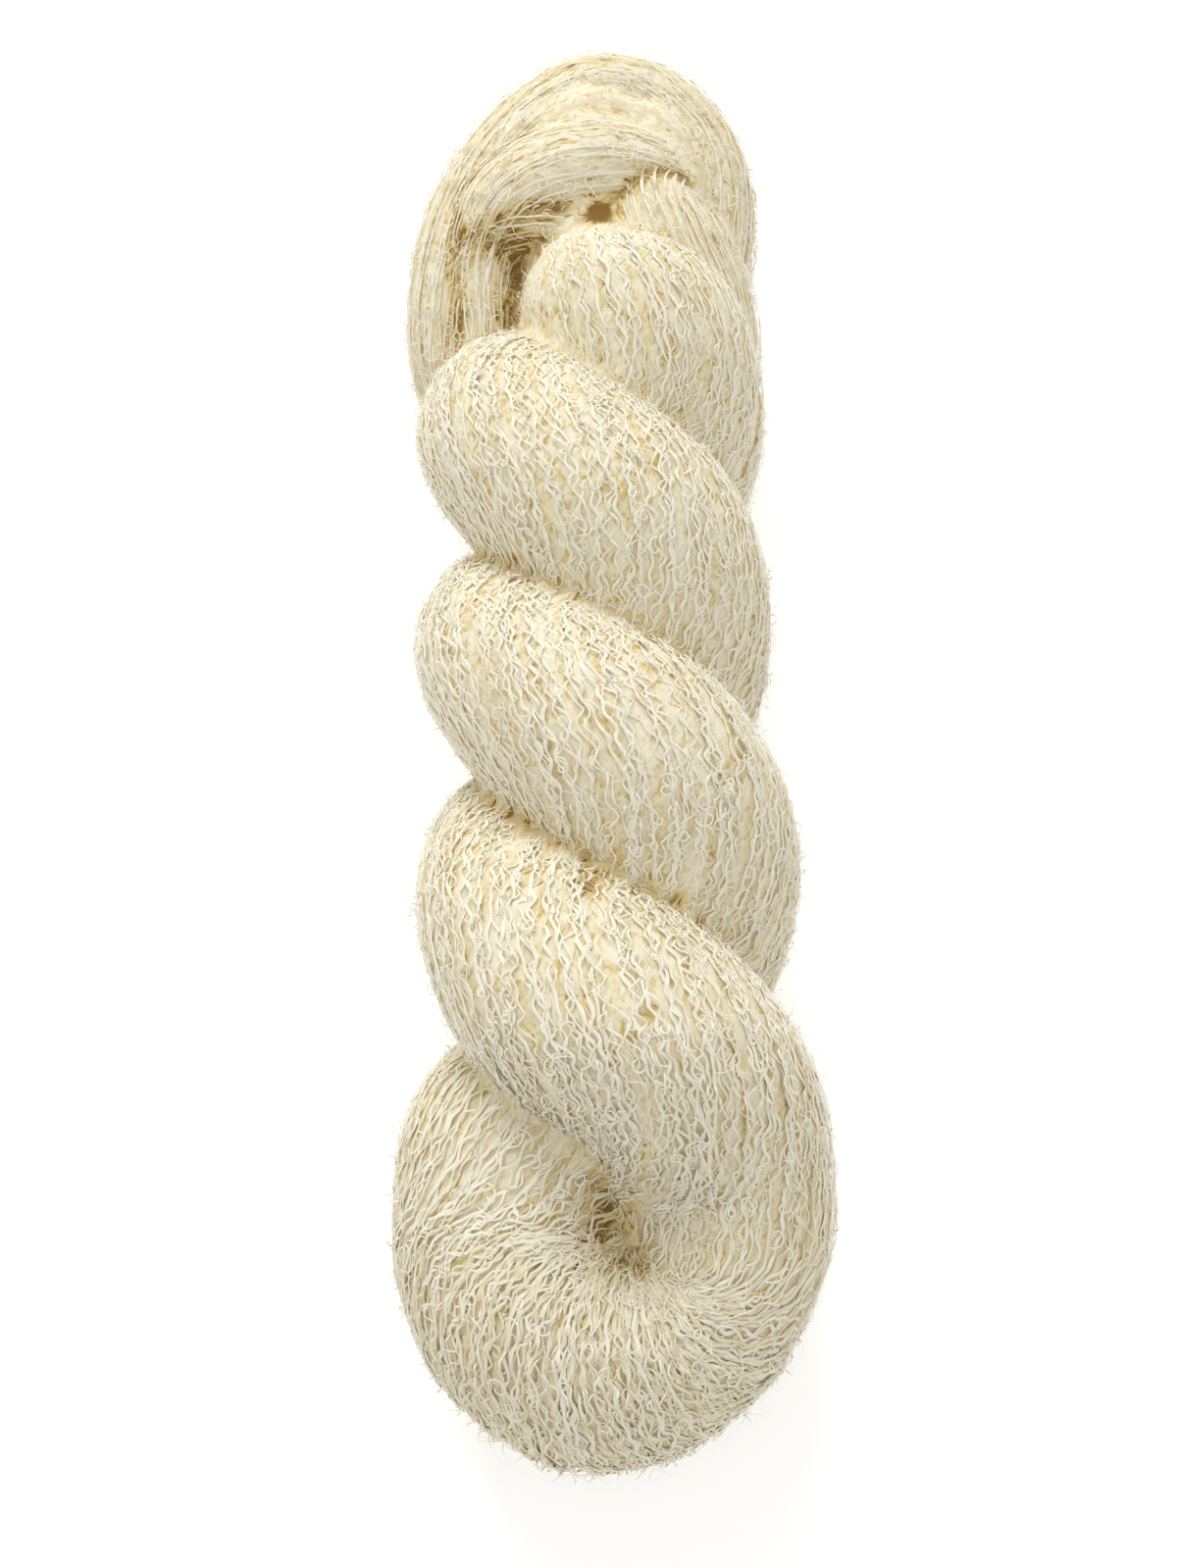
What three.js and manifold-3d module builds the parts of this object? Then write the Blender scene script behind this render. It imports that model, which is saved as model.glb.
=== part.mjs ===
// A twisted hank of boucle yarn, lying on a table.
//
// A skein is a big loose loop of yarn. It is twisted, folded in half so that its two halves ply round each
// other, and one end loop is drawn over the other to lock it. The hank lies along Y: the folded end is at -Y
// and the locked end at +Y. Z is up, and the origin is on the table under the middle of the hank.
// Lengths are millimetres.

import * as THREE from "three";
import { mergeVertices } from "three/addons/utils/BufferGeometryUtils.js";
import Module from "manifold-3d";

// Overall size
const HANK_LENGTH = 325; // from the folded end to the locked end
const HANK_WIDTH = 80; // across the fat of the lobes
const SETTLE = 3.5; // how far the lobes' undersides are pressed flat by the table

// The two plies
const LOBE_SPACING = 55.4; // each ply comes to the top once in two of these
const PLY_RADIUS = 22.5; // half the thickness of one ply
const FIRST_LOBE_Y = -82.7; // middle of the lobe next to the folded end

// A hand-twisted ply gets fatter and thinner by this share, in a long and a short wave
const UNEVENNESS = { share: 0.02, longWave: 88, shortWave: 54, shortShare: 0.6 };

// The folded end, where one ply turns back and becomes the other
const BEND_REACH = 14; // from the bend's centre to the ply's middle at the tip
const BEND_THICKENING = 1.2; // the untwisted fold puffs up by this much in height
const BEND_DROOP = 11; // the fold hangs this much lower than the hank's axis
const BEND_EASE = { fromY: -88, toY: -132 }; // the puffing and drooping set in between these
const BEND_SLOW_Y = -107; // the twist slows here, before the bend
const BEND_SLOW_EASE = 3.5;
const BEND_TURN_SHARE = 0.16; // to this share of its rate
const PINCH = { x: 4, y: -125, depth: 6, radius: 9 }; // the dimple that the fold closes round

// The locked end: each ply thins and sinks towards the axis as it dives under the end loop
const PLY_A_DIVE = { fromY: 92, toY: 130, radius: 14, offsetShare: 0.5 };
const PLY_B_DIVE = { fromY: 67, toY: 102, radius: 12, offsetShare: 0.15 };

const PLY_OFFSET = HANK_WIDTH / 2 - PLY_RADIUS; // from the hank's axis to a ply's middle
const AXIS_HEIGHT = HANK_WIDTH / 2 - SETTLE;
const BEND_Y = -HANK_LENGTH / 2 + PLY_RADIUS + BEND_REACH;
const PITCH = 2 * LOBE_SPACING;

// How the hank strays from a straight, even rope: the shift of its middle and its width there, as a share
const STRAY = {
  y: [-165, -145, -118, -60, 3, 55, 100, 165],
  shift: [1.5, 2.3, 3.5, 3.3, 0, -0.8, 0.5, 1.5],
  width: [0.84, 0.95, 1.04, 0.96, 0.965, 1.015, 1, 1],
};

// The lobes sag towards the folded end in the middle, so the creases between them dip there.
// The sag sets in between the near stations and ends between the far ones.
const LOBE_SAG = { depth: 8.5, x: -8, halfWidth: 28, near: [-114, -82], far: [30, 72] };

// The mesh of the plied body
const COLUMNS = 44; // round the hank, following the twist
const ROW_STEP = 3.6; // along the hank
const NEAR_FAN_ROWS = 12;
const FAR_FAN_ROWS = 9;
const FAR_FAN_Y = 112;
const SAMPLE_STEP = 1.6; // between the balls that a ply's solid is swept from
const BEND_STEPS = 40;
const TRACE_FROM = 75; // farther out than any part of the hank
const TRACE_STEPS = 60;
const TRACE_CLOSE = 0.005;

// The bundles of the end loop: middle line as [x, y, height above the hank's axis, radius].
// They come up from under the last left lobe, fan out over the end, and run down on the right.
const END_LOOP = {
  outer_bundle: [
    [-26, 56, -10, 7],
    [-33, 72, -3, 9.5],
    [-34, 90, 4, 11.5],
    [-31, 107, 8, 12.5],
    [-24, 123, 10, 13.5],
    [-13, 137, 10.5, 15],
    [-1, 146.5, 10, 15.5],
    [11, 146.5, 9, 15],
    [21, 140, 7.5, 13.5],
    [28, 129, 4, 12.2],
    [30, 113, -2, 11],
    [29, 97, -9, 9],
  ],
  inner_bundle: [
    [-22, 62, -4, 7.5],
    [-26, 79, 4, 8.5],
    [-27, 96, 10, 10],
    [-21, 107, 14, 13.5],
    [-10, 114, 15.5, 15],
    [2, 117, 15.5, 15],
    [12, 119, 13.5, 12.5],
    [20, 122, 9, 8],
  ],
  thin_bundle: [
    [-37, 94, 7, 4.5],
    [-30, 98, 14, 5.6],
    [-20, 100, 18, 6],
    [-10, 101, 18.5, 5.6],
    [-1, 103, 15, 4],
  ],
  last_lobe: [
    [28, 70, -10, 12],
    [25, 86, 1, 15.5],
    [17, 98, 8, 17.5],
    [13, 110, 11, 15],
    [17, 121, 10, 9],
  ],
  under_bundle: [
    [-25, 78, -18, 11],
    [-27, 104, -19, 14.5],
    [-21, 126, -19.5, 17.5],
    [-7, 140, -19, 18],
    [9, 140, -19, 18],
    [21, 126, -19.5, 17],
    [25, 104, -19, 13.5],
  ],
};
const BUNDLE_SIDES = 18;
const BUNDLE_STEP = 4;
const BUNDLE_CAP_ROWS = 3;

// The yarn packed inside the end loop, as balls: [x, y, height above the hank's axis, radius]
const HEART = [
  [-4, 122, 3, 24],
  [8, 122, 0, 25],
  [0, 104, 0, 25],
  [-3, 132, 8, 20],
  [10, 131, 6, 19],
];

const YARN = new THREE.MeshStandardMaterial({ color: 0xe6dcc0, roughness: 0.95, metalness: 0 });

function smoothStep(from, to, value) {
  const t = THREE.MathUtils.clamp((value - from) / (to - from), 0, 1);
  return t * t * (3 - 2 * t);
}

// How far ply A has turned from the top towards +X, at a place along the hank.
function twistAt(y) {
  const past = BEND_SLOW_EASE * Math.log(1 + Math.exp((BEND_SLOW_Y - y) / BEND_SLOW_EASE));
  return (2 * Math.PI * (FIRST_LOBE_Y - y - (1 - BEND_TURN_SHARE) * past)) / PITCH;
}

function around(y, offset, angle) {
  return new THREE.Vector3(offset * Math.sin(angle), y, offset * Math.cos(angle));
}

// The balls that one ply is swept from, between the bend and the place where it dives under the end loop.
function plyBalls(startAngle, dive) {
  const balls = [];
  for (let y = BEND_Y; y <= dive.toY; y += SAMPLE_STEP) {
    const longWave = Math.sin((2 * Math.PI * y) / UNEVENNESS.longWave + startAngle);
    const shortWave = Math.sin((2 * Math.PI * y) / UNEVENNESS.shortWave);
    const wobble = longWave + UNEVENNESS.shortShare * shortWave;
    const settingIn = smoothStep(BEND_Y, BEND_Y + PLY_RADIUS, y);
    const fat = PLY_RADIUS * (1 + UNEVENNESS.share * wobble * settingIn);
    const diving = smoothStep(dive.fromY, dive.toY, y);
    const offset = PLY_OFFSET * THREE.MathUtils.lerp(1, dive.offsetShare, diving);
    const radius = THREE.MathUtils.lerp(fat, dive.radius, diving);
    balls.push({ at: around(y, offset, twistAt(y) + startAngle), radius });
  }
  return balls;
}

function bendBalls() {
  return Array.from({ length: BEND_STEPS + 1 }, (_, i) => {
    const angle = (Math.PI * i) / BEND_STEPS;
    const y = BEND_Y - BEND_REACH * Math.sin(angle);
    return { at: around(y, PLY_OFFSET * Math.cos(angle), twistAt(y)), radius: PLY_RADIUS };
  });
}

// Distance from a point to the nearest ball's surface, for the whole plied body.
function makeDistance(balls) {
  const n = balls.length;
  const data = new Float64Array(n * 4);
  balls.forEach(({ at, radius }, i) => data.set([at.x, at.y, at.z, radius], i * 4));
  return (p) => {
    let nearest = Infinity;
    for (let i = 0; i < n * 4; i += 4) {
      const d = Math.hypot(p.x - data[i], p.y - data[i + 1], p.z - data[i + 2]) - data[i + 3];
      if (d < nearest) nearest = d;
    }
    return nearest;
  };
}

// Walks in from outside along a ray that ends at a point on the hank's axis, and stops at the yarn.
function outermost(distance, centre, direction) {
  const p = new THREE.Vector3();
  let reach = TRACE_FROM;
  for (let i = 0; i < TRACE_STEPS; i++) {
    p.copy(centre).addScaledVector(direction, reach);
    const d = distance(p);
    if (d < TRACE_CLOSE) break;
    reach -= d;
  }
  return p.copy(centre).addScaledVector(direction, reach);
}

// A value from a table at a place along the hank, eased between its stations.
function strayAt(values, y) {
  const stations = STRAY.y;
  const i = THREE.MathUtils.clamp(stations.findIndex((at) => at > y) - 1, 0, stations.length - 2);
  return THREE.MathUtils.lerp(values[i], values[i + 1], smoothStep(stations[i], stations[i + 1], y));
}

// The twist is worked out on a straight axis at height 0. This puts a point where it is as the hank lies:
// strayed from the straight, puffed up and drooping at the fold, and dimpled above and below at the pinch.
function asItLies(p) {
  const atFold = smoothStep(BEND_EASE.fromY, BEND_EASE.toY, p.y);
  const fromPinch = Math.hypot(p.x - PINCH.x, p.y - PINCH.y) / PINCH.radius;
  const dimple = PINCH.depth * Math.exp(-(fromPinch ** 2)) * Math.sign(p.z);
  const height = AXIS_HEIGHT - BEND_DROOP * atFold;
  const x = p.x * strayAt(STRAY.width, p.y) + strayAt(STRAY.shift, p.y);
  const { near, far } = LOBE_SAG;
  const sagging = smoothStep(near[0], near[1], p.y) * smoothStep(far[1], far[0], p.y);
  const sag = LOBE_SAG.depth * sagging * Math.exp(-(((p.x - LOBE_SAG.x) / LOBE_SAG.halfWidth) ** 2));
  const z = height + p.z * THREE.MathUtils.lerp(1, BEND_THICKENING, atFold) - dimple;
  return new THREE.Vector3(x, p.y - sag, z);
}

// A closed skin over rows of points, each row a ring, with a point at either end.
function closedSkin(firstPoint, rings, lastPoint) {
  const positions = [];
  const indices = [];
  const columns = rings[0].length;
  const put = (p) => positions.push(p.x, p.y, p.z);
  put(firstPoint);
  rings.forEach((ring) => ring.forEach(put));
  put(lastPoint);
  const at = (row, column) => 1 + row * columns + (column % columns);
  const last = 1 + rings.length * columns;
  for (let c = 0; c < columns; c++) {
    indices.push(0, at(0, c + 1), at(0, c));
    indices.push(last, at(rings.length - 1, c), at(rings.length - 1, c + 1));
    for (let r = 0; r + 1 < rings.length; r++) {
      indices.push(at(r, c), at(r, c + 1), at(r + 1, c + 1));
      indices.push(at(r, c), at(r + 1, c + 1), at(r + 1, c));
    }
  }
  const geometry = new THREE.BufferGeometry();
  geometry.setAttribute("position", new THREE.Float32BufferAttribute(positions, 3));
  geometry.setIndex(indices);
  return geometry;
}

// The two plies and the fold. Its columns follow the twist, so the creases between lobes run along them.
function pliedBody() {
  const balls = [...plyBalls(0, PLY_A_DIVE), ...plyBalls(Math.PI, PLY_B_DIVE), ...bendBalls()];
  HEART.forEach(([x, y, z, radius]) => balls.push({ at: new THREE.Vector3(x, y, z), radius }));
  const distance = makeDistance(balls);
  const ring = (y, polar) => {
    const centre = new THREE.Vector3(0, y, 0);
    return Array.from({ length: COLUMNS }, (_, c) => {
      const angle = twistAt(y) + (2 * Math.PI * c) / COLUMNS;
      const direction = around(0, Math.sin(polar), angle).setY(-Math.cos(polar));
      return asItLies(outermost(distance, centre, direction));
    });
  };
  const tip = (y, towards) =>
    asItLies(outermost(distance, new THREE.Vector3(0, y, 0), new THREE.Vector3(0, towards, 0)));
  const rings = [];
  const square = Math.PI / 2;
  const rows = Math.round((FAR_FAN_Y - BEND_Y) / ROW_STEP);
  const rowStep = (FAR_FAN_Y - BEND_Y) / rows;
  for (let i = 1; i < NEAR_FAN_ROWS; i++) rings.push(ring(BEND_Y, square * (i / NEAR_FAN_ROWS)));
  for (let i = 0; i <= rows; i++) rings.push(ring(BEND_Y + i * rowStep, square));
  for (let i = 1; i < FAR_FAN_ROWS; i++) rings.push(ring(FAR_FAN_Y, square * (1 + i / FAR_FAN_ROWS)));
  return closedSkin(tip(BEND_Y, -1), rings, tip(FAR_FAN_Y, 1));
}

// A round bundle of yarn along a smooth line, with a rounded end where it dives into the hank.
function bundle(stations) {
  const line = new THREE.CatmullRomCurve3(stations.map(([x, y, z]) => new THREE.Vector3(x, y, z)));
  const radii = new THREE.CatmullRomCurve3(stations.map(([, , , r], i) => new THREE.Vector3(i, r, 0)));
  const rows = Math.round(line.getLength() / BUNDLE_STEP);
  const frames = line.computeFrenetFrames(rows, false);
  const radiusAt = (row) => radii.getPoint(line.getUtoTmapping(row / rows)).y;
  const middle = (row, forward) =>
    line.getPointAt(row / rows).addScaledVector(frames.tangents[row], forward * radiusAt(row));
  const ring = (row, forward, share) =>
    Array.from({ length: BUNDLE_SIDES }, (_, c) => {
      const angle = (2 * Math.PI * c) / BUNDLE_SIDES;
      const reach = radiusAt(row) * share;
      const p = middle(row, forward);
      p.addScaledVector(frames.normals[row], reach * Math.cos(angle));
      p.addScaledVector(frames.binormals[row], reach * Math.sin(angle));
      return asItLies(p);
    });
  const capRing = (row, side, i) => {
    const angle = (Math.PI / 2) * (i / (BUNDLE_CAP_ROWS + 1));
    return ring(row, side * Math.cos(angle), Math.sin(angle));
  };
  const rings = [];
  for (let i = 1; i <= BUNDLE_CAP_ROWS; i++) rings.push(capRing(0, -1, i));
  for (let row = 0; row <= rows; row++) rings.push(ring(row, 0, 1));
  for (let i = BUNDLE_CAP_ROWS; i >= 1; i--) rings.push(capRing(rows, 1, i));
  return closedSkin(asItLies(middle(0, -1)), rings, asItLies(middle(rows, 1)));
}

const wasm = await Module();
wasm.setup();

function toSolid(geometry) {
  const bare = geometry.clone();
  bare.deleteAttribute("normal");
  bare.deleteAttribute("uv");
  const merged = mergeVertices(bare, 1e-4);
  return new wasm.Manifold(
    new wasm.Mesh({
      numProp: 3,
      vertProperties: new Float32Array(merged.attributes.position.array),
      triVerts: new Uint32Array(merged.index.array),
    }),
  );
}

function toGeometry(solid) {
  const mesh = solid.getMesh();
  const geometry = new THREE.BufferGeometry();
  geometry.setAttribute("position", new THREE.BufferAttribute(new Float32Array(mesh.vertProperties), 3));
  geometry.setIndex(new THREE.BufferAttribute(new Uint32Array(mesh.triVerts), 1));
  geometry.computeVertexNormals();
  return geometry;
}

// The space under the hank: cutting it away leaves the undersides of the lobes as flat as they are pressed.
function spaceUnder() {
  return new THREE.BoxGeometry(2 * HANK_WIDTH, 2 * HANK_LENGTH, HANK_WIDTH).translate(0, 0, -HANK_WIDTH / 2);
}

let yarnSolid = toSolid(pliedBody());
for (const stations of Object.values(END_LOOP)) yarnSolid = yarnSolid.add(toSolid(bundle(stations)));
yarnSolid = yarnSolid.subtract(toSolid(spaceUnder()));

const hank = new THREE.Mesh(toGeometry(yarnSolid), YARN);
hank.name = "hank";

const group = new THREE.Group();
group.add(hank);

export default group;
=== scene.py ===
import math
import time

import bpy
import numpy as np
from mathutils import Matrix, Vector
from mathutils.bvhtree import BVHTree
from mathutils.kdtree import KDTree


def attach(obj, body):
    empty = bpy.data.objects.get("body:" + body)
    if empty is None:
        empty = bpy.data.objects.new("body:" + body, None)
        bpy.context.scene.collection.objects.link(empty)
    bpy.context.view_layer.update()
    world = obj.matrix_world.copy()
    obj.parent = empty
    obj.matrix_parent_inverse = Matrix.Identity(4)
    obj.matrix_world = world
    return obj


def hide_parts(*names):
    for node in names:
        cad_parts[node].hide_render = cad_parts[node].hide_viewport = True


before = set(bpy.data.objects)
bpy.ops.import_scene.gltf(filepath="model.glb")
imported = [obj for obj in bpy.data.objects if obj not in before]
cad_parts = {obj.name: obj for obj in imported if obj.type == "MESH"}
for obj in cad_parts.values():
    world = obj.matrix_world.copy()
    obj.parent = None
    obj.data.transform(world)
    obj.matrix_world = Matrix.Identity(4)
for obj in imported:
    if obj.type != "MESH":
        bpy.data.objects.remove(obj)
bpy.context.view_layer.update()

# A twisted hank of cream boucle yarn. The wound form comes from the frame, and the strands, curls and fuzz
# are laid along the same plies and bundles here. Lengths are millimetres where no note says metres.

startTime = time.time()
millimetre = 0.001      # in metres


def report(stage):
    print(f"[{time.time() - startTime:5.1f} s] {stage}")


def placed(name, data):
    # a new object in the scene
    thing = bpy.data.objects.new(name, data)
    bpy.context.scene.collection.objects.link(thing)
    return thing


# camera

cameraLook = {
    "place": (-0.0010, -0.13265, 0.27440), "nearest": 0.01,      # metres
    "fromStraightDown": 22.42,      # degrees
    "lens": 28.14, "sensor": 36,
}

lens = bpy.data.cameras.new("viewLens")
lens.lens = cameraLook["lens"]
lens.sensor_width = cameraLook["sensor"]
lens.clip_start = cameraLook["nearest"]
camera = placed("viewCamera", lens)
camera.location = cameraLook["place"]
camera.rotation_euler = (math.radians(cameraLook["fromStraightDown"]), 0, 0)
bpy.context.scene.camera = camera
bpy.context.scene.view_settings.view_transform = "Standard"
report("camera in place")

# wound form

# the same values as in the part's source
hankShape = {
    "axisHeight": 36.5, "plyRadius": 22.5, "plyOffset": 17.5, "pitch": 110.8, "firstLobe": -82.7,
    # past foldY one ply turns back as the other, and from foldSlowY on the two twist less
    "foldY": -126, "foldReach": 14, "foldSlowY": -107, "foldSlowEase": 3.5, "foldTurnShare": 0.16,
    "foldFrom": -88, "foldTo": -132, "foldThicker": 1.2, "foldDroop": 11,
    "pinch": (4, -125), "pinchDepth": 6, "pinchRadius": 9,
    "unevenShare": 0.02, "longWave": 88, "shortWave": 54, "shortShare": 0.6,
    # where each ply dives under the end loop: from y, to y, its radius there and the share of its offset
    "diveA": (92, 130, 14, 0.5), "diveB": (67, 102, 12, 0.15),
    # how far sideways and how wide the hank lies, at stations along it
    "strayY": [-165, -145, -118, -60, 3, 55, 100, 165],
    "strayShift": [1.5, 2.3, 3.5, 3.3, 0, -0.8, 0.5, 1.5],
    "strayWidth": [0.84, 0.95, 1.04, 0.96, 0.965, 1.015, 1, 1],
    # how far the lobes sag towards the fold, and where
    "sag": 8.5, "sagX": -8, "sagHalfWidth": 28, "sagNear": (-114, -82), "sagFar": (30, 72),
}

# end loop bundles: x, y, height over the hank's axis, radius
endLoop = {
    "outerBundle": [(-26, 56, -10, 7), (-33, 72, -3, 9.5), (-34, 90, 4, 11.5), (-31, 107, 8, 12.5),
                    (-24, 123, 10, 13.5), (-13, 137, 10.5, 15), (-1, 146.5, 10, 15.5), (11, 146.5, 9, 15),
                    (21, 140, 7.5, 13.5), (28, 129, 4, 12.2), (30, 113, -2, 11), (29, 97, -9, 9)],
    "innerBundle": [(-22, 62, -4, 7.5), (-26, 79, 4, 8.5), (-27, 96, 10, 10), (-21, 107, 14, 13.5),
                    (-10, 114, 15.5, 15), (2, 117, 15.5, 15), (12, 119, 13.5, 12.5), (20, 122, 9, 8)],
    "thinBundle": [(-37, 94, 7, 4.5), (-30, 98, 14, 5.6), (-20, 100, 18, 6), (-10, 101, 18.5, 5.6),
                   (-1, 103, 15, 4)],
    "lastLobe": [(28, 70, -10, 12), (25, 86, 1, 15.5), (17, 98, 8, 17.5), (13, 110, 11, 15),
                 (17, 121, 10, 9)],
    "underBundle": [(-25, 78, -18, 11), (-27, 104, -19, 14.5), (-21, 126, -19.5, 17.5), (-7, 140, -19, 18),
                    (9, 140, -19, 18), (21, 126, -19.5, 17), (25, 104, -19, 13.5)],
}

# how the strands turn in a winding, in radians a millimetre, and where those of the fold gather
twistLook = {
    "plyTurn": 0.072,      # so that outer strands run along the hank
    "leavingShare": 0.65,      # the least of that in the ply that leaves the fold
    "foldTurn": 0.15, "foldIn": (-123, -132), "foldOut": (-120, -131),
    "bundleTurn": 0.004,
    "meetFrom": (4, -124), "meetReach": 16, "meetEdge": 2.2, "meetDeepest": -4, "meetShift": (2.5, -2.5),
}

# how finely the paths are laid: points in a ply, in the fold and from one station to the next
pathLook = {"step": 0.5, "plyPoints": 600, "foldPoints": 90, "stretchPoints": 40}


def smoothStep(start, end, value):
    t = np.clip((value - start) / (end - start), 0, 1)
    return t * t * (3 - 2 * t)


def unit(vectors):
    return vectors / np.maximum(np.linalg.norm(vectors, axis=-1, keepdims=True), 1e-9)


def twistAt(y):
    s = hankShape
    past = s["foldSlowEase"] * np.logaddexp(0, (s["foldSlowY"] - y) / s["foldSlowEase"])
    return 2 * np.pi * (s["firstLobe"] - y - (1 - s["foldTurnShare"]) * past) / s["pitch"]


def aroundAxis(y, offset, angle):
    return np.stack([offset * np.sin(angle), y + 0 * angle, offset * np.cos(angle)], -1)


def plyStretch(y, startAngle, dive):
    # centres, outward directions and radii of a ply
    s = hankShape
    fromY, toY, thin, offsetShare = dive
    wave = np.sin(2 * np.pi * y / s["longWave"] + startAngle)
    wave = wave + s["shortShare"] * np.sin(2 * np.pi * y / s["shortWave"])
    uneven = s["unevenShare"] * wave * smoothStep(s["foldY"], s["foldY"] + s["plyRadius"], y)
    fat = s["plyRadius"] * (1 + uneven)
    diving = smoothStep(fromY, toY, y)
    angle = twistAt(y) + startAngle
    centre = aroundAxis(y, s["plyOffset"] * (1 + (offsetShare - 1) * diving), angle)
    return centre, aroundAxis(0 * y, 1, angle), fat + (thin - fat) * diving


def foldStretch(alpha):
    # the same for the half turn from one ply to the other
    s = hankShape
    y = s["foldY"] - s["foldReach"] * np.sin(alpha)
    angle = twistAt(y)
    centre = aroundAxis(y, s["plyOffset"] * np.cos(alpha), angle)
    outward = aroundAxis(0 * y, np.cos(alpha) / s["plyOffset"], angle)
    outward[:, 1] = -np.sin(alpha) / s["foldReach"]
    return centre, unit(outward), np.full(len(alpha), float(s["plyRadius"]))


def evenly(columns, step):
    # the same line with points an even step apart, and how far along each is
    gaps = np.linalg.norm(np.diff(columns[:, :3], axis=0), axis=1)
    along = np.concatenate([[0], np.cumsum(gaps)])
    places = np.linspace(0, along[-1], int(along[-1] / step) + 1)
    return np.stack([np.interp(places, along, c) for c in columns.T], -1), places


def pathOf(columns, step):
    # columns: centre, outward direction, radius
    columns, places = evenly(columns, step)
    centre, outward, radius = columns[:, :3], columns[:, 3:6], columns[:, 6]
    tangent = unit(np.gradient(centre, axis=0))
    outward = unit(outward - tangent * np.sum(outward * tangent, -1, keepdims=True))
    return {"centre": centre, "outward": outward, "side": np.cross(tangent, outward),
            "radius": radius, "places": places}


def pliesPath(look):
    s = hankShape
    down = np.linspace(s["diveA"][1], s["foldY"], look["plyPoints"])
    turn = np.linspace(0, np.pi, look["foldPoints"])[1:-1]
    up = np.linspace(s["foldY"], s["diveB"][1], look["plyPoints"])
    parts = [plyStretch(down, 0, s["diveA"]), foldStretch(turn), plyStretch(up, np.pi, s["diveB"])]
    path = pathOf(np.vstack([np.column_stack(part) for part in parts]), look["step"])
    # the strands turn in the ply as fast as the plies turn round each other, and much faster in the fold
    y = path["centre"][:, 1]
    middle = np.argmin(y)
    share = 1 - (1 - s["foldTurnShare"]) / (1 + np.exp((y - s["foldSlowY"]) / s["foldSlowEase"]))
    share[middle:] = np.maximum(share[middle:], twistLook["leavingShare"])
    inFold = np.where(np.arange(len(y)) < middle, smoothStep(*twistLook["foldIn"], y),
                      smoothStep(*twistLook["foldOut"], y))
    rate = twistLook["plyTurn"] * share * (1 - inFold) + twistLook["foldTurn"] * inFold
    path["turn"] = np.concatenate([[0], np.cumsum(rate[1:] * np.diff(path["places"]))])
    return path


def smoothLine(stations, count):
    # a smooth line through the stations, with count points between one and the next
    points = np.array(stations, float)
    points = np.vstack([2 * points[0] - points[1], points, 2 * points[-1] - points[-2]])
    t = np.linspace(0, 1, count, endpoint=False)[:, None]
    line = []
    for a, b, c, d in zip(points, points[1:], points[2:], points[3:]):
        ab, bc, cd = (np.sqrt(np.linalg.norm((q - p)[:3])) for p, q in ((a, b), (b, c), (c, d)))
        leave = ((b - a) / ab - (c - a) / (ab + bc) + (c - b) / bc) * bc
        arrive = ((c - b) / bc - (d - b) / (bc + cd) + (d - c) / cd) * bc
        line.append((2 * t**3 - 3 * t**2 + 1) * b + (t**3 - 2 * t**2 + t) * leave
                    + (3 * t**2 - 2 * t**3) * c + (t**3 - t**2) * arrive)
    line.append(points[-2:-1])
    return np.vstack(line)


def bundlePath(stations, look):
    line, _ = evenly(smoothLine(stations, look["stretchPoints"]), look["step"])
    tangent = unit(np.gradient(line[:, :3], axis=0))
    outward = np.zeros_like(tangent)
    last = np.array([0.0, 0.0, 1.0])      # starts straight up and follows the bends without turning
    for i, t in enumerate(tangent):
        last = last - t * np.dot(last, t)
        last = last / np.linalg.norm(last)
        outward[i] = last
    path = pathOf(np.column_stack([line[:, :3], outward, line[:, 3]]), look["step"])
    path["turn"] = twistLook["bundleTurn"] * path["places"]
    return path


windings = [pliesPath(pathLook)] + [bundlePath(stations, pathLook) for stations in endLoop.values()]
for winding in windings:
    slope = np.gradient(winding["turn"], winding["places"]) * winding["radius"]
    winding["lean"] = np.arctan(slope)
    longer = np.sqrt(1 + slope**2)      # a strand is longer than its path where it turns round it
    winding["along"] = np.concatenate([[0], np.cumsum(longer[1:] * np.diff(winding["places"]))])
report(f"{len(windings)} windings laid")


def asItLies(points):
    # from the straight twist to the hank on the table
    s = hankShape
    x, y, z = points[..., 0], points[..., 1], points[..., 2]
    spans = list(zip(s["strayY"], s["strayY"][1:]))

    def stray(values):
        total = np.full_like(y, values[0])
        for (start, end), a, b in zip(spans, values, values[1:]):
            total += (b - a) * smoothStep(start, end, y)
        return total

    atFold = smoothStep(s["foldFrom"], s["foldTo"], y)
    away = np.hypot(x - s["pinch"][0], y - s["pinch"][1]) / s["pinchRadius"]
    dimple = s["pinchDepth"] * np.exp(-away**2) * np.sign(z)
    height = s["axisHeight"] - s["foldDroop"] * atFold + z * (1 + (s["foldThicker"] - 1) * atFold) - dimple
    sagging = smoothStep(*s["sagNear"], y) * smoothStep(*s["sagFar"][::-1], y)
    sag = s["sag"] * sagging * np.exp(-(((x - s["sagX"]) / s["sagHalfWidth"])**2))
    return np.stack([x * stray(s["strayWidth"]) + stray(s["strayShift"]), y - sag, height], -1)


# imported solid, to tell what is buried in it and which hollows get little light

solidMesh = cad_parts["hank"].data
solidCorners = np.empty(len(solidMesh.vertices) * 3)
solidMesh.vertices.foreach_get("co", solidCorners)
solidCorners = solidCorners.reshape(-1, 3) / millimetre
solidFaces = np.array([list(p.vertices) for p in solidMesh.polygons])
solidTree = BVHTree.FromPolygons([Vector(c) for c in solidCorners], solidFaces.tolist())


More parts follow.
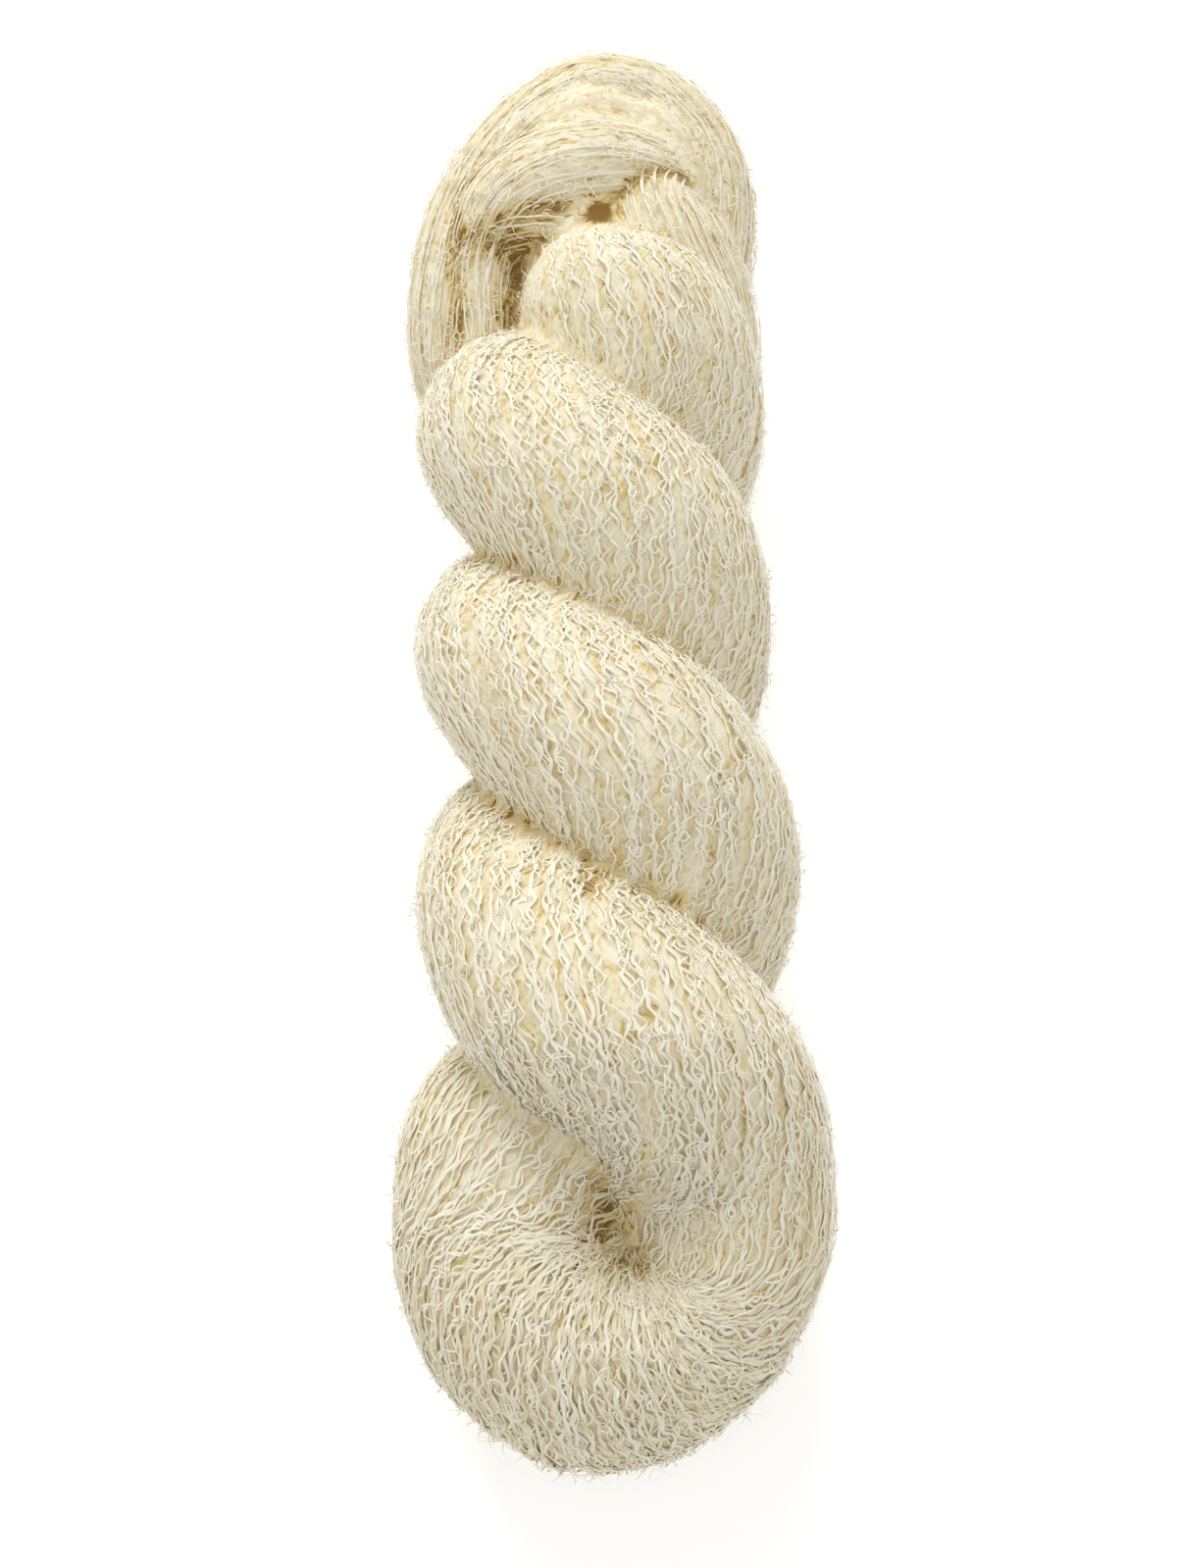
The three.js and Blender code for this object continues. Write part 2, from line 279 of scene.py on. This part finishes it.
def strandPlaces(points):
    # each point in the measure of its own strands, two values round the winding and one along the strand,
    # and how far the next winding's skin is
    gaps = np.empty((len(windings), len(points)))
    places = np.empty((len(windings), len(points), 3))
    for k, winding in enumerate(windings):
        line = asItLies(winding["centre"])
        ahead = unit(np.gradient(line, axis=0))
        outward = unit(asItLies(winding["centre"] + winding["outward"]) - line)
        side = unit(asItLies(winding["centre"] + winding["side"]) - line)
        tree = KDTree(len(line))
        for i, c in enumerate(line):
            tree.insert(c, i)
        tree.balance()
        near = np.array([tree.find(p)[1] for p in points])
        away = points - line[near]
        past = np.sum(away * ahead[near], -1)
        lean = winding["lean"][near]
        radius = winding["radius"][near]
        turned = winding["turn"][near] + past * np.tan(lean) / radius
        angle = np.arctan2(np.sum(away * side[near], -1), np.sum(away * outward[near], -1)) - turned
        acrossRadius = radius * np.cos(lean)      # so that a step round is a step square to the strands
        places[k] = np.stack([acrossRadius * np.cos(angle), acrossRadius * np.sin(angle),
                              winding["along"][near] + past / np.cos(lean)], -1)
        gaps[k] = np.abs(np.linalg.norm(away, axis=-1) - radius)
    own = np.argmin(gaps, 0)
    return places[own, np.arange(len(points))], np.sort(gaps, 0)[1]


# rays from a face, how far they go, how far off it they start, and a direction that they are turned from
opennessLook = {"rays": 28, "reach": 45, "startOff": 0.4, "sideways": (0.31, 0.52, 0.79)}


def opennessOfFaces(look):
    # share of directions that leave a face without meeting the hank again
    a, b, c = (solidCorners[solidFaces[:, k]] for k in range(3))
    normals = unit(np.cross(b - a, c - a))
    spread = np.arange(look["rays"]) + 0.5
    height = np.sqrt(1 - spread / look["rays"])
    flat = np.sqrt(1 - height**2)
    around = spread * math.pi * (3 - math.sqrt(5))      # each ray a golden angle on from the last
    side = unit(np.cross(normals, look["sideways"]))
    other = np.cross(normals, side)
    free = np.zeros(len(normals))
    for i, centre in enumerate((a + b + c) / 3 + look["startOff"] * normals):
        start = Vector(centre)
        ways = (flat * np.cos(around))[:, None] * side[i] + (flat * np.sin(around))[:, None] * other[i] \
            + height[:, None] * normals[i]
        met = [solidTree.ray_cast(start, way, look["reach"])[0] for way in ways]
        free[i] = sum(place is None for place in met) / look["rays"]
    # evened out over each corner's faces
    total = np.zeros(len(solidCorners))
    meeting = np.zeros(len(solidCorners))
    np.add.at(total, solidFaces.ravel(), np.repeat(free, 3))
    np.add.at(meeting, solidFaces.ravel(), 1)
    return (total / np.maximum(meeting, 1))[solidFaces].mean(1)


openness = opennessOfFaces(opennessLook)
report(f"openness from {openness.min():.2f} to {openness.max():.2f}")


def lieOfLand(points):
    # millimetres over the solid's skin, negative inside, the way out and the openness there
    flat = points.reshape(-1, 3)
    depth, out, free = np.empty(len(flat)), np.empty((len(flat), 3)), np.empty(len(flat))
    for i, p in enumerate(flat.tolist()):
        near, normal, face, _ = solidTree.find_nearest(p)
        depth[i] = (p[0] - near[0]) * normal[0] + (p[1] - near[1]) * normal[1] + (p[2] - near[2]) * normal[2]
        out[i] = normal
        free[i] = openness[face]
    shape = points.shape[:-1]
    return depth.reshape(shape), out.reshape(points.shape), free.reshape(shape)


# tones run from 0 in a dark hollow to 1 on pale yarn; the shade below is painted into the tone where the hank
# closes in and gets little light
shadeLook = {
    "crease": 0.14, "openMore": 0.61, "openFrom": (0.2, 0.75),
    # painted shade in the seams where windings meet: how much darker, and how much more from one y to another
    # in the end loop
    "seamDarker": 0.45, "loopDarker": 0.13, "loopFrom": (68, 84), "seamWidth": 2.4,
    # painted shade at places where the yarn closes in on a hollow: x, y, z, reach, how much darker
    "hollows": [(7, -129, 44, 3, 0.3), (2, -119, 44, 3, 0.05), (-1, -65.5, 67, 4, 0.5),
                (1.5, 100, 60, 3.2, 1.5)],
}


def shadeAt(points, free, nextSkin):
    # painted shade: the tone falls where the hank is less open, beside the seams and at the hollows
    look = shadeLook
    seam = look["seamDarker"] + look["loopDarker"] * smoothStep(*look["loopFrom"], points[:, 1])
    free = free * (1 - seam * np.exp(-(nextSkin / look["seamWidth"])**2))
    shade = look["crease"] + look["openMore"] * smoothStep(*look["openFrom"], free)
    for x, y, z, reach, darker in look["hollows"]:
        shade -= darker * np.exp(-(np.linalg.norm(points - (x, y, z), axis=-1) / reach)**2)
    return shade


def setTone(mesh, tone):
    mesh.attributes.new("tone", "FLOAT", "POINT").data.foreach_set("value", tone.astype(np.float32))


def meshFrom(name, corners, faceGroups, tone):
    mesh = bpy.data.meshes.new(name)
    mesh.vertices.add(len(corners))
    mesh.vertices.foreach_set("co", (corners * millimetre).astype(np.float32).ravel())
    loops = np.concatenate([g.ravel() for g in faceGroups]).astype(np.int32)
    sizes = np.concatenate([np.full(len(g), g.shape[1]) for g in faceGroups])
    mesh.loops.add(len(loops))
    mesh.loops.foreach_set("vertex_index", loops)
    mesh.polygons.add(len(sizes))
    mesh.polygons.foreach_set("loop_start", (np.cumsum(sizes) - sizes).astype(np.int32))
    mesh.update(calc_edges=True)
    mesh.validate()
    mesh.shade_smooth()
    setTone(mesh, tone)
    return placed(name, mesh)


def alongRuns(points, lengths):
    # direction along each run of points
    starts = np.repeat(np.cumsum(lengths) - lengths, lengths)
    ends = np.repeat(np.cumsum(lengths) - 1, lengths)
    index = np.arange(len(points))
    return unit(points[np.minimum(index + 1, ends)] - points[np.maximum(index - 1, starts)])


# a strand's section, edge, crown and edge: across and over in half widths, and how its tone differs; the
# darker edges are painted shade and the lighter crown painted light
section = np.array([(1, -0.3, -0.15), (0, 0.3, 0.05), (-1, -0.3, -0.15)])
crown = 1


def tubes(name, points, upward, lengths, thickness, tone):
    # one closed tube for each run of points; thickness is half its width at each point
    sides = len(section)
    starts = np.cumsum(lengths) - lengths
    run = np.repeat(np.arange(len(lengths)), lengths)
    index = np.arange(len(points))
    tangent = alongRuns(points, lengths)
    across = unit(np.cross(tangent, upward))
    over = np.cross(across, tangent)
    ring = section[None, :, :1] * across[:, None] + section[None, :, 1:2] * over[:, None]
    corners = points[:, None] + ring * thickness[:, None, None]
    first = index[index < (starts + lengths - 1)[run]]
    k = np.arange(sides)
    a = first[:, None] * sides + k
    b = first[:, None] * sides + (k + 1) % sides
    quads = np.stack([a, a + sides, b + sides, b], -1).reshape(-1, 4)
    head = starts[:, None] * sides + k
    tail = (starts + lengths - 1)[:, None] * sides + k[::-1]
    # the section's tone paints shade on a strand's edges and light on its crown
    cornerTone = (tone[:, None] + section[:, 2]).ravel()
    piece = meshFrom(name, corners.reshape(-1, 3), [quads, head, tail], cornerTone)
    # the strand's two edges stay sharp, so its crown is shaded as evenly as it lies
    edges = np.empty(2 * len(piece.data.edges), np.int32)
    piece.data.edges.foreach_get("vertices", edges)
    start, end = edges.reshape(-1, 2).T % sides
    sharp = (start == end) & (start != crown)
    piece.data.attributes.new("sharp_edge", "BOOLEAN", "EDGE").data.foreach_set("value", sharp)
    return piece


def countTriangles(piece):
    return sum(len(p.vertices) - 2 for p in piece.data.polygons)


def anyPhase(rng, rows):
    return rng.uniform(0, 6.3, (rows, 1))      # about a whole turn


# three sines for each row: their sizes, how length goes with size, a slower swing in each, and what their
# sum is divided by
waverLook = {"sizes": (1.0, 0.7, 0.45), "length": (0.6, 0.8), "swing": 1.1, "swingLength": 3.3, "evened": 1.5}


def waver(along, rows, rng, longest, shortest):
    # about -1 to 1
    total = np.zeros((rows, len(along)))
    base, more = waverLook["length"]
    for size in waverLook["sizes"]:
        length = rng.uniform(shortest, longest, (rows, 1)) * (base + more * size)
        slow = 2 * np.pi * along / (waverLook["swingLength"] * length)
        swing = waverLook["swing"] * np.sin(slow + anyPhase(rng, rows))
        total += size * np.sin(2 * np.pi * along / length + anyPhase(rng, rows) + swing)
    return total / waverLook["evened"]


def atPlaces(path, places):
    # centre, outward and side directions and radius at the given places along the path
    last = len(path["places"]) - 1.001      # just short of the end, so that a next point is there
    where = np.clip(places / path["places"][1], 0, last)
    low = where.astype(int)
    part = (where - low)[..., None]
    columns = np.column_stack([path["centre"], path["outward"], path["side"], path["radius"]])
    found = columns[low] * (1 - part) + columns[low + 1] * part
    return found[..., :3], found[..., 3:6], found[..., 6:9], found[..., 9]


def layStrands(path, count, look, rng):
    # strand points and their outward directions, all still round the straight twist's path
    along = np.arange(0, path["along"][-1], look["step"])
    places = np.interp(along, path["along"], path["places"])
    lean = np.interp(along, path["along"], path["lean"])
    across = look["sway"] * waver(along, count, rng, *look["waves"])
    across += look["drift"] * waver(along, count, rng, *look["driftWaves"])
    radial = look["lift"] * waver(along, count, rng, *look["waves"])
    radial += look["rise"] + look["riseSpread"] * rng.standard_normal((count, 1))
    shift = rng.uniform(-look["startSpread"], look["startSpread"], (count, 1))
    start = 2 * np.pi * (np.arange(count)[:, None] + shift) / count
    centre, outward, side, radius = atPlaces(path, places - np.sin(lean) * across)
    radius = radius * (1 + look["grooves"] * np.cos(look["grooveCount"] * start))
    turn = np.interp(places, path["places"], path["turn"])
    angle = start + turn + np.cos(lean) * across / np.maximum(radius, look["leastRadius"])
    upward = np.cos(angle)[..., None] * outward + np.sin(angle)[..., None] * side
    points = centre + (radius + radial)[..., None] * upward
    tone = look["strandTone"] * rng.standard_normal((count, 1))
    # strands lower over the skin get darker, painted shade; the patches differ at random
    tone = tone + look["patchTone"] * waver(along, count, rng, *look["patches"]) + look["heightShade"] * radial
    swell = 1 + look["swell"] * waver(along, count, rng, *look["swellWaves"])
    return points, upward, tone, swell


def gatherAtPinch(points, depth, free):
    # the fold's strands meet a little nearer its tip than its middle; they keep their height over the skin
    s = twistLook
    away = np.linalg.norm(points[..., :2] - s["meetFrom"], axis=-1) / s["meetReach"]
    near = (away < s["meetEdge"]) & (depth > s["meetDeepest"])
    shifted = points[near] + np.exp(-away[near]**2)[:, None] * np.array([*s["meetShift"], 0])
    newDepth, out, newFree = lieOfLand(shifted)
    points, free = points.copy(), free.copy()
    points[near] = shifted + (depth[near] - newDepth)[:, None] * out
    free[near] = newFree
    return points, free


def keptRuns(points, upward, tone, swell, look):
    # the strands as they lie, cut where they are buried: points, outward, run lengths, tone, swell
    lying = asItLies(points)
    upward = unit(asItLies(points + 0.5 * upward) - lying)      # from a step of half a millimetre
    depth, _, free = lieOfLand(lying)
    lying, free = gatherAtPinch(lying, depth, free)
    keep = (depth > look["buried"]) & (depth < look["highest"]) & (lying[..., 1] < look["onlyBefore"])
    lying[..., 2] = np.maximum(lying[..., 2], look["thickness"])
    change = np.diff(np.pad(keep, ((0, 0), (1, 1))).astype(int), axis=1)
    row, start = np.nonzero(change == 1)
    _, end = np.nonzero(change == -1)
    long = end - start >= look["shortestRun"]
    row, start, end = row[long], start[long], end[long]
    width = points.shape[1]
    index = np.concatenate([np.arange(r * width + a, r * width + b) for r, a, b in zip(row, start, end)])
    tone = tone.reshape(-1)[index] + look["tone"]
    lying = lying.reshape(-1, 3)[index]
    # painted shade from openness, seams and hollows
    tone += shadeAt(lying, free.reshape(-1)[index], strandPlaces(lying)[1])
    # painted shade, darker towards the fold's end
    tone += look["foldShade"] * smoothStep(*look["foldShadeFrom"], lying[:, 1])
    return lying, upward.reshape(-1, 3)[index], end - start, tone, swell.reshape(-1)[index]


def strandPiece(name, runs, look):
    points, upward, lengths, tone, swell = (np.concatenate(columns) for columns in zip(*runs))
    thickness = look["thickness"] * swell
    ends = np.cumsum(lengths)
    thickness[ends - 1] *= look["endShare"]
    thickness[ends - lengths] *= look["endShare"]
    piece = tubes(name, points, upward, lengths, np.clip(thickness, look["thinnest"], look["thickest"]), tone)
    report(f"{name}: {len(lengths)} strands, {countTriangles(piece)} triangles")
    return piece


# materials

def setSockets(shader, values):
    for socket, value in values.items():
        shader.inputs[socket].default_value = value


# where each colour stands on the scale of tones; hollow and straw, at the low end, are mostly reached where
# shade is painted into the tone
yarnColours = {
    "hollow": (0, (0.25, 0.135, 0.03, 1)), "straw": (0.3, (0.72, 0.56, 0.25, 1)),
    "cream": (0.62, (0.85, 0.78, 0.58, 1)), "pale": (1, (0.93, 0.89, 0.75, 1)),
}
woolSockets = {"Roughness": 0.9, "Sheen Roughness": 0.6, "Sheen Tint": (0.95, 0.93, 0.88, 1),
               "Specular IOR Level": 0.1}


def newFinish(name, sheen):
    finish = bpy.data.materials.new(name)
    finish.use_nodes = True
    nodes, links = finish.node_tree.nodes, finish.node_tree.links
    shader = nodes["Principled BSDF"]
    setSockets(shader, {**woolSockets, "Sheen Weight": sheen})
    return finish, nodes, links, shader


def meshValues(nodes, name):
    values = nodes.new("ShaderNodeAttribute")
    values.attribute_name = name
    return values.outputs


def spreadOver(nodes, links, value, start, end, low, high):
    # start to end becomes low to high
    spread = nodes.new("ShaderNodeMapRange")
    setSockets(spread, {"From Min": start, "From Max": end, "To Min": low, "To Max": high})
    links.new(value, spread.inputs["Value"])
    return spread.outputs["Result"]


def noiseOver(nodes, links, vector, scale, detail):
    noise = nodes.new("ShaderNodeTexNoise")
    setSockets(noise, {"Scale": scale, "Detail": detail, "Roughness": 0.6})
    links.new(vector, noise.inputs["Vector"])
    return noise.outputs


def sumOf(nodes, links, *values):
    while len(values) > 1:
        both = nodes.new("ShaderNodeMath")
        links.new(values[0], both.inputs[0])
        links.new(values[1], both.inputs[1])
        values = (both.outputs[0], *values[2:])
    return values[0]


def colourAndBump(nodes, links, shader, shade, height, strength, distance):
    shades = nodes.new("ShaderNodeValToRGB")
    ramp = shades.color_ramp      # starts with its two ends, at 0 and 1
    ramp.elements[0].color, ramp.elements[1].color = yarnColours["hollow"][1], yarnColours["pale"][1]
    for tone, colour in (yarnColours["straw"], yarnColours["cream"]):
        ramp.elements.new(tone).color = colour
    links.new(shade, shades.inputs["Fac"])
    links.new(shades.outputs["Color"], shader.inputs["Base Color"])
    bump = nodes.new("ShaderNodeBump")
    setSockets(bump, {"Strength": strength, "Distance": distance})
    links.new(height, bump.inputs["Height"])
    links.new(bump.outputs["Normal"], shader.inputs["Normal"])


# fine specks: grain is how many in a metre; relief in metres
strandWool = {"sheen": 0.4, "toneShift": 0.2, "grain": 900, "speckEdge": (0.3, 0.7), "speckTone": 0.06,
              "bump": 0.5, "relief": 0.0003}
fuzzWool = dict(strandWool, sheen=0.5, grain=400, speckTone=0.05)


def yarnFinish(name, look):
    # tone on the mesh picks the colour between hollow and pale; fine specks shift it
    finish, nodes, links, shader = newFinish(name, look["sheen"])
    place = nodes.new("ShaderNodeTexCoord").outputs["Object"]
    speck = noiseOver(nodes, links, place, look["grain"], 2)["Fac"]
    low, high = look["toneShift"] - look["speckTone"], look["toneShift"] + look["speckTone"]
    shade = sumOf(nodes, links, spreadOver(nodes, links, speck, *look["speckEdge"], low, high),
                  meshValues(nodes, "tone")["Fac"])
    colourAndBump(nodes, links, shader, shade, speck, look["bump"], look["relief"])
    return finish


# core

# a size and wavePitch are parts a millimetre, a size across and along the strands; an edge is where the
# noise starts and ends, and a tone or height what it gives there; offTable and relief are in metres
coreLook = {
    "voxel": 1.8, "sunk": 0.35, "lumps": 0.15, "offTable": 0.0004, "seed": 5,
    "wavePitch": 0.3, "waveSize": 1.6,
    # the tones of rows, gaps and hairs darken the core, painted shade of the yarn seen deep between the
    # strands
    "rows": {"size": (0.55, 0.07), "detail": 1, "edge": (0.36, 0.64), "tone": (-0.22, 0.04),
             "height": (0, 1)},
    "gaps": {"size": (0.9, 0.4), "detail": 1, "edge": (0.36, 0.46), "tone": (-0.24, 0),
             "height": (-0.8, 0)},
    "hairs": {"size": (2.6, 0.6), "detail": 2, "edge": (0.3, 0.7), "tone": (-0.2, 0.12),
              "height": (0, 0.5)},
    "sheen": 0.1, "bump": 0.35, "relief": 0.0004,
}


def coreFinish(name, look):
    # rows of strands with small gaps and hairs between them, laid by the strandPlace values on the mesh;
    # their tones, with the mesh's tone, paint the shade of the yarn deep between the strands
    finish, nodes, links, shader = newFinish(name, look["sheen"])
    place = meshValues(nodes, "strandPlace")["Vector"]

    def noise(vector, across, along, detail):
        squeeze = nodes.new("ShaderNodeMapping")
        squeeze.inputs["Scale"].default_value = (across, across, along)
        links.new(vector, squeeze.inputs["Vector"])
        return noiseOver(nodes, links, squeeze.outputs["Vector"], 1, detail)

    waved = nodes.new("ShaderNodeVectorMath")
    waved.operation = "MULTIPLY_ADD"
    waved.inputs[1].default_value = (look["waveSize"], look["waveSize"], 0)
    links.new(noise(place, look["wavePitch"] / 2, look["wavePitch"], 0)["Color"], waved.inputs[0])
    links.new(place, waved.inputs[2])
    tones, heights = [], []
    for kind in (look["rows"], look["gaps"], look["hairs"]):
        pattern = noise(waved.outputs["Vector"], *kind["size"], kind["detail"])["Fac"]
        tones.append(spreadOver(nodes, links, pattern, *kind["edge"], *kind["tone"]))
        heights.append(spreadOver(nodes, links, pattern, *kind["edge"], *kind["height"]))
    shade = sumOf(nodes, links, *tones, meshValues(nodes, "tone")["Fac"])
    colourAndBump(nodes, links, shader, shade, sumOf(nodes, links, *heights), look["bump"], look["relief"])
    return finish


strandFinish = yarnFinish("creamStrand", strandWool)
fuzzFinish = yarnFinish("paleFuzz", fuzzWool)


def finishPiece(piece, finish):
    piece.data.materials.clear()
    piece.data.materials.append(finish)
    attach(piece, "root")


def makeCore(look):
    # the solid with even faces, sunk a little so that the strands lie in it
    core = placed("woundCore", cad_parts["hank"].data.copy())
    remesh = core.modifiers.new("even", "REMESH")
    remesh.mode = "VOXEL"
    remesh.voxel_size = look["voxel"] * millimetre
    even = bpy.data.meshes.new_from_object(core.evaluated_get(bpy.context.evaluated_depsgraph_get()))
    core.modifiers.clear()
    core.data = even
    place = np.empty(len(even.vertices) * 3, np.float32)
    normal = np.empty(len(even.vertices) * 3, np.float32)
    even.vertices.foreach_get("co", place)
    even.vertex_normals.foreach_get("vector", normal)
    place, normal = place.reshape(-1, 3), normal.reshape(-1, 3)
    skin = place.astype(float) / millimetre
    rng = np.random.default_rng(look["seed"])
    sunk = look["sunk"] + look["lumps"] * rng.standard_normal(len(place))
    place = place - normal * sunk[:, None] * millimetre
    place[:, 2] = np.maximum(place[:, 2], look["offTable"])
    even.vertices.foreach_set("co", place.ravel())
    even.update()
    even.shade_smooth()
    _, _, free = lieOfLand(skin)
    strandPlace, nextSkin = strandPlaces(skin)
    # painted shade from openness, seams and hollows
    setTone(even, shadeAt(skin, free, nextSkin))
    even.attributes.new("strandPlace", "FLOAT_VECTOR", "POINT").data.foreach_set(
        "vector", strandPlace.astype(np.float32).ravel())
    report(f"core: {len(even.polygons)} faces")
    return core


core = makeCore(coreLook)
finishPiece(core, coreFinish("strawHollow", coreLook))
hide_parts("hank")

# strands

# count is for a ply, or for 100 mm of girth in the end loop; thickness is half a strand's width; waves and
# patches give the longest and the shortest; strands lie only where y is less than onlyBefore
outerLook = {
    "count": 50, "step": 1.04, "startSpread": 0.3, "seed": 11,
    "thickness": 0.32, "thinnest": 0.1, "thickest": 2, "endShare": 0.4, "swell": 0.35, "swellWaves": (5, 3),
    "waves": (6, 4), "sway": 0.36, "lift": 0.18, "rise": 0.05, "riseSpread": 0.2,
    "drift": 0.8, "driftWaves": (90, 35), "grooves": 0, "grooveCount": 5, "leastRadius": 3,
    "buried": -0.6, "highest": 3.5, "shortestRun": 3, "onlyBefore": 999,
    # heightShade: strands darker the lower they lie, painted shade
    "tone": 0, "strandTone": 0.1, "patchTone": 0.1, "patches": (60, 20), "heightShade": 0.12,
    # foldShade: darker towards the fold's end, painted shade
    "foldShade": -0.16, "foldShadeFrom": (-105, -135),
}
# the fold's strands are toned darker still, painted shade at the fold
foldLook = dict(outerLook, count=44, thickness=0.28, onlyBefore=-92, tone=-0.25, seed=13)
fineLook = dict(outerLook, thickness=0.2, rise=0.2, sway=0.6, lift=0.25, drift=1.3, waves=(6, 3.4), seed=14)
loopLook = dict(outerLook, tone=-0.06, count=70, step=1.2, thickness=0.24, sway=0.13, lift=0.15, waves=(9, 5),
                grooves=0.03, seed=112)


def plyLayer(look):
    rng = np.random.default_rng(look["seed"])
    return [keptRuns(*layStrands(windings[0], look["count"], look, rng), look)]


def loopLayer(look):
    rng = np.random.default_rng(look["seed"])
    runs = []
    for path in windings[1:]:
        count = int(2 * np.pi * np.median(path["radius"]) * look["count"] / 100)
        runs.append(keptRuns(*layStrands(path, count, look, rng), look))
    return runs


plyRuns = plyLayer(outerLook)
loopRuns = loopLayer(loopLook)
for name, runs, look in (("plyStrands", plyRuns, outerLook), ("loopStrands", loopRuns, loopLook),
                         ("foldStrands", plyLayer(foldLook), foldLook),
                         ("fineStrands", plyLayer(fineLook), fineLook)):
    finishPiece(strandPiece(name, runs, look), strandFinish)

# curls and fuzz

# bend is how far a curl turns and wander how far it leaves its strand's way, both in radians; spread is how
# far it starts from the strand; thickness is half a curl's width
shortLook = {
    "count": 5500, "points": 6, "length": (2.5, 6), "bend": (0.5, 3.5), "wander": 0.45, "spread": 1.3,
    "ripple": 0.4, "rippleTurn": 6, "sunk": 0.3, "base": 0.2, "lift": (0.3, 1.4),
    "tipUp": 0.4, "tipEase": 1.5, "thickness": 0.15, "endShare": 0.4, "taper": 4,
    "tone": 0.08, "toneSpread": 0.08, "seed": 31,
}
ringLook = dict(shortLook, count=1000, points=11, length=(5, 10), bend=(5.0, 7.5), wander=3.1, spread=1.5,
                lift=(0.3, 1.0), tipUp=0, thickness=0.17, tone=0.1, seed=33)
fuzzLook = dict(shortLook, count=6700, points=5, length=(3, 9), bend=(0.3, 3.5), wander=1.1, spread=1.6,
                base=0, lift=(0.2, 0.8), tipUp=2.8, thickness=0.085, tone=0.1, seed=37)

strandPoints, strandUp, strandLengths, strandTone, _ = (np.concatenate(c) for c in zip(*plyRuns, *loopRuns))
strandWay = alongRuns(strandPoints, strandLengths)


def curls(name, look):
    # short bent tubes, each rooted at a point of a strand
    rng = np.random.default_rng(look["seed"])
    rows, steps = look["count"], look["points"]
    pick = rng.integers(0, len(strandPoints), rows)
    root, up, way = strandPoints[pick], strandUp[pick], strandWay[pick]
    across = unit(np.cross(up, way))
    root = root + across * rng.uniform(-1, 1, (rows, 1)) * look["spread"] - look["sunk"] * up
    t = np.linspace(0, 1, steps)
    length = rng.uniform(*look["length"], (rows, 1))
    bend = rng.uniform(*look["bend"], (rows, 1)) * rng.choice([-1, 1], (rows, 1))
    heading = look["wander"] * rng.uniform(-1, 1, (rows, 1)) + bend * (t - 0.5)
    heading = heading + look["ripple"] * np.sin(look["rippleTurn"] * t + anyPhase(rng, rows))
    ahead = np.cumsum(np.cos(heading), 1) * length / steps
    aside = np.cumsum(np.sin(heading), 1) * length / steps
    ahead, aside = ahead - ahead.mean(1, keepdims=True), aside - aside.mean(1, keepdims=True)
    lift = look["base"] + rng.uniform(*look["lift"], (rows, 1)) * np.sin(np.pi * t)
    lift = lift + look["tipUp"] * rng.random((rows, 1)) * t**look["tipEase"]
    points = (root[:, None] + up[:, None] * lift[..., None] + way[:, None] * ahead[..., None]
              + across[:, None] * aside[..., None])
    full = np.clip(look["taper"] * np.sin(np.pi * t), 0, 1)
    thickness = look["thickness"] * (look["endShare"] + (1 - look["endShare"]) * full) * np.ones((rows, 1))
    points[..., 2] = np.maximum(points[..., 2], thickness)
    tone = strandTone[pick] + look["tone"] + look["toneSpread"] * rng.standard_normal(rows)
    piece = tubes(name, points.reshape(-1, 3), np.repeat(up, steps, axis=0), np.full(rows, steps),
                  thickness.ravel(), np.repeat(tone, steps))
    report(f"{name}: {rows} curls, {countTriangles(piece)} triangles")
    return piece


for name, look, finish in (("shortCurls", shortLook, strandFinish), ("ringCurls", ringLook, strandFinish),
                           ("fuzz", fuzzLook, fuzzFinish)):
    finishPiece(curls(name, look), finish)

# table, sky and light

# metres and watts; the sky is low at the horizon and high where a direction's height is highFrom, with 1
# straight up
studio = {
    "low": 0.38, "high": 0.9, "highFrom": 0.9, "key": 9.5, "keyPlace": (-0.25, 1.0, 0.85), "keySize": 0.7,
    "floor": (0.93, 0.93, 0.93, 1), "floorGlow": 0.3, "floorReach": 3,
}


def makeFloor(look):
    reach = look["floorReach"]
    mesh = bpy.data.meshes.new("tableTop")
    mesh.from_pydata([(-reach, -reach, 0), (reach, -reach, 0), (reach, reach, 0), (-reach, reach, 0)], [],
                     [(0, 1, 2, 3)])
    paper = bpy.data.materials.new("whiteTable")
    paper.use_nodes = True
    setSockets(paper.node_tree.nodes["Principled BSDF"],
               {"Base Color": look["floor"], "Roughness": 0.9, "Specular IOR Level": 0.1,
                "Emission Color": (1, 1, 1, 1), "Emission Strength": look["floorGlow"]})
    mesh.materials.append(paper)
    return placed("tableTop", mesh)


def makeSky(look):
    world = bpy.data.worlds.new("softSky")
    world.use_nodes = True
    nodes, links = world.node_tree.nodes, world.node_tree.links
    split = nodes.new("ShaderNodeSeparateXYZ")
    links.new(nodes.new("ShaderNodeTexCoord").outputs["Generated"], split.inputs["Vector"])
    strength = spreadOver(nodes, links, split.outputs["Z"], 0, look["highFrom"], look["low"], look["high"])
    links.new(strength, nodes["Background"].inputs["Strength"])
    nodes["Background"].inputs["Color"].default_value = (1, 1, 1, 1)
    return world


def makeKey(look):
    light = bpy.data.lights.new("windowLight", "AREA")
    light.energy = look["key"]
    light.size = look["keySize"]
    key = placed("windowLight", light)
    key.location = look["keyPlace"]
    key.rotation_euler = (-Vector(look["keyPlace"])).to_track_quat("-Z", "Y").to_euler()


floor = makeFloor(studio)
bpy.context.scene.world = makeSky(studio)
makeKey(studio)
report("floor and light in place")

bpy.context.view_layer.update()
report("sizes written")
